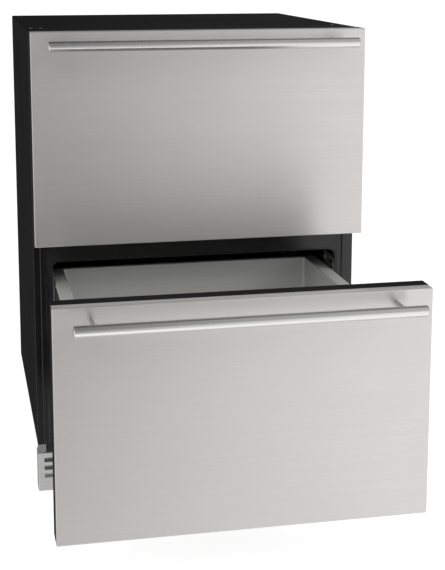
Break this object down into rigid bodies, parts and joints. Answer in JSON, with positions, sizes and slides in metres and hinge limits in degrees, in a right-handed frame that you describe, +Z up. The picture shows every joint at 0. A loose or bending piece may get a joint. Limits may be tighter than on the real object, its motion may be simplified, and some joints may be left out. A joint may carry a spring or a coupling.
{
  "type": "undercounter drawer refrigerator",
  "caption": "Undercounter refrigerator with insulated stainless drawers on full-extension ball-bearing slides over a louvred kick plate.",
  "frame": {"origin": "on the floor under the middle of the whole object's box, with the lower drawer standing open", "axes": "+Z up, +Y towards the back of the cabinet, +X towards the right-hand side seen from the front"},
  "size_m": [0.607, 1.041, 0.867],
  "materials": {
    "black_paint": "matte",
    "galvanised": "satin",
    "frame_black": "matte",
    "liner_black": "satin",
    "foam": "matte",
    "kick_steel": "satin",
    "front_steel": "satin",
    "handle_steel": "polished",
    "bin_steel": "satin",
    "zinc_steel": "satin",
    "screw_steel": "polished",
    "slide_steel": "satin",
    "compressor_black": "gloss",
    "grommet_rubber": "matte",
    "gasket_rubber": "matte",
    "foot_plastic": "matte",
    "coil_metal": "satin",
    "evaporator_metal": "satin",
    "fan_plastic": "satin",
    "motor_metal": "satin",
    "copper": "satin",
    "pan_plastic": "matte",
    "box_plastic": "satin",
    "lens": "satin",
    "core_plastic": "matte"
  },
  "bodies": {
    "cabinet": {"cabinet_wrap": "black_paint", "rear_panel": "galvanised", "rear_cover": "galvanised", "front_frame": "frame_black", "upper_liner": "liner_black", "lower_liner": "liner_black", "insulation_foam": "foam", "step_panel": "galvanised", "base_pan": "galvanised", "kick_plate": "kick_steel", "kick_brackets": "zinc_steel", "cabinet_screws": "screw_steel", "compressor": "compressor_black", "compressor_grommets": "grommet_rubber", "condenser_coil": "coil_metal", "fan_shroud": "fan_plastic", "condenser_fan_motor": "motor_metal", "filter_drier": "copper", "refrigerant_lines": "copper", "drain_pan": "pan_plastic", "drain_tube": "pan_plastic", "control_box": "box_plastic", "power_inlet": "box_plastic", "interior_lights": "lens", "evaporator_coil": "evaporator_metal", "evaporator_cover": "liner_black", "evaporator_fan_motor": "motor_metal", "slide_brackets": "zinc_steel", "slide_outers": "slide_steel", "bracket_screws": "screw_steel"},
    "upper_drawer": {"upper_front_skin": "front_steel", "upper_door_core": "core_plastic", "upper_gasket": "gasket_rubber", "upper_handle_bar": "handle_steel", "upper_handle_posts": "handle_steel", "upper_door_fasteners": "screw_steel", "upper_bin": "bin_steel", "upper_bin_rails": "zinc_steel", "upper_slide_inners": "slide_steel"},
    "lower_drawer": {"lower_front_skin": "front_steel", "lower_door_core": "core_plastic", "lower_gasket": "gasket_rubber", "lower_handle_bar": "handle_steel", "lower_handle_posts": "handle_steel", "lower_door_fasteners": "screw_steel", "lower_bin": "bin_steel", "lower_bin_rails": "zinc_steel", "lower_slide_inners": "slide_steel"},
    "upper_slide_middles": {"upper_slide_mids": "slide_steel"},
    "lower_slide_middles": {"lower_slide_mids": "slide_steel"},
    "upper_outer_ball_cages": {"upper_outer_cages": "slide_steel"},
    "upper_inner_ball_cages": {"upper_inner_cages": "slide_steel"},
    "lower_outer_ball_cages": {"lower_outer_cages": "slide_steel"},
    "lower_inner_ball_cages": {"lower_inner_cages": "slide_steel"},
    "condenser_fan_wheel": {"condenser_fan": "fan_plastic"},
    "evaporator_fan_wheel": {"evaporator_fan": "fan_plastic"},
    "leg_front_left": {"leg_front_left": "foot_plastic"},
    "leg_front_right": {"leg_front_right": "foot_plastic"},
    "leg_rear_left": {"leg_rear_left": "foot_plastic"},
    "leg_rear_right": {"leg_rear_right": "foot_plastic"}
  },
  "joints": [
    {"name": "upper_drawer_slide", "type": "slide", "parent": "cabinet", "child": "upper_drawer", "axis": [0, -1, 0], "range_m": [0, 0.42]},
    {"name": "upper_slide_middle_travel", "type": "slide", "parent": "cabinet", "child": "upper_slide_middles", "axis": [0, -1, 0], "range_m": [-0.001, 0.211]},
    {"name": "upper_outer_ball_cage_travel", "type": "slide", "parent": "cabinet", "child": "upper_outer_ball_cages", "axis": [0, -1, 0], "range_m": [-0.001, 0.106]},
    {"name": "upper_inner_ball_cage_travel", "type": "slide", "parent": "cabinet", "child": "upper_inner_ball_cages", "axis": [0, -1, 0], "range_m": [-0.001, 0.316]},
    {"name": "lower_drawer_slide", "type": "slide", "parent": "cabinet", "child": "lower_drawer", "axis": [0, -1, 0], "range_m": [-0.3625, 0.0575]},
    {"name": "lower_slide_middle_travel", "type": "slide", "parent": "cabinet", "child": "lower_slide_middles", "axis": [0, -1, 0], "range_m": [-0.18225, 0.02975]},
    {"name": "lower_outer_ball_cage_travel", "type": "slide", "parent": "cabinet", "child": "lower_outer_ball_cages", "axis": [0, -1, 0], "range_m": [-0.09162, 0.01537]},
    {"name": "lower_inner_ball_cage_travel", "type": "slide", "parent": "cabinet", "child": "lower_inner_ball_cages", "axis": [0, -1, 0], "range_m": [-0.27287, 0.04412]},
    {"name": "condenser_fan_spin", "type": "hinge", "parent": "cabinet", "child": "condenser_fan_wheel", "pos_m": [-0.135, 0.3925, 0.1192], "axis": [0, 1, 0], "continuous": true},
    {"name": "evaporator_fan_spin", "type": "hinge", "parent": "cabinet", "child": "evaporator_fan_wheel", "pos_m": [0.165, 0.4498, 0.6902], "axis": [0, 1, 0], "continuous": true},
    {"name": "leg_front_left_height", "type": "slide", "parent": "cabinet", "child": "leg_front_left", "axis": [0, 0, 1], "range_m": [-0.025, 0]},
    {"name": "leg_front_right_height", "type": "slide", "parent": "cabinet", "child": "leg_front_right", "axis": [0, 0, 1], "range_m": [-0.025, 0]},
    {"name": "leg_rear_left_height", "type": "slide", "parent": "cabinet", "child": "leg_rear_left", "axis": [0, 0, 1], "range_m": [-0.025, 0]},
    {"name": "leg_rear_right_height", "type": "slide", "parent": "cabinet", "child": "leg_rear_right", "axis": [0, 0, 1], "range_m": [-0.025, 0]}
  ],
  "couplings": [
    {"joint": "upper_slide_middle_travel", "follows": "upper_drawer_slide", "ratio": 0.5},
    {"joint": "upper_outer_ball_cage_travel", "follows": "upper_drawer_slide", "ratio": 0.25},
    {"joint": "upper_inner_ball_cage_travel", "follows": "upper_drawer_slide", "ratio": 0.75},
    {"joint": "lower_slide_middle_travel", "follows": "lower_drawer_slide", "ratio": 0.5},
    {"joint": "lower_outer_ball_cage_travel", "follows": "lower_drawer_slide", "ratio": 0.25},
    {"joint": "lower_inner_ball_cage_travel", "follows": "lower_drawer_slide", "ratio": 0.75}
  ]
}
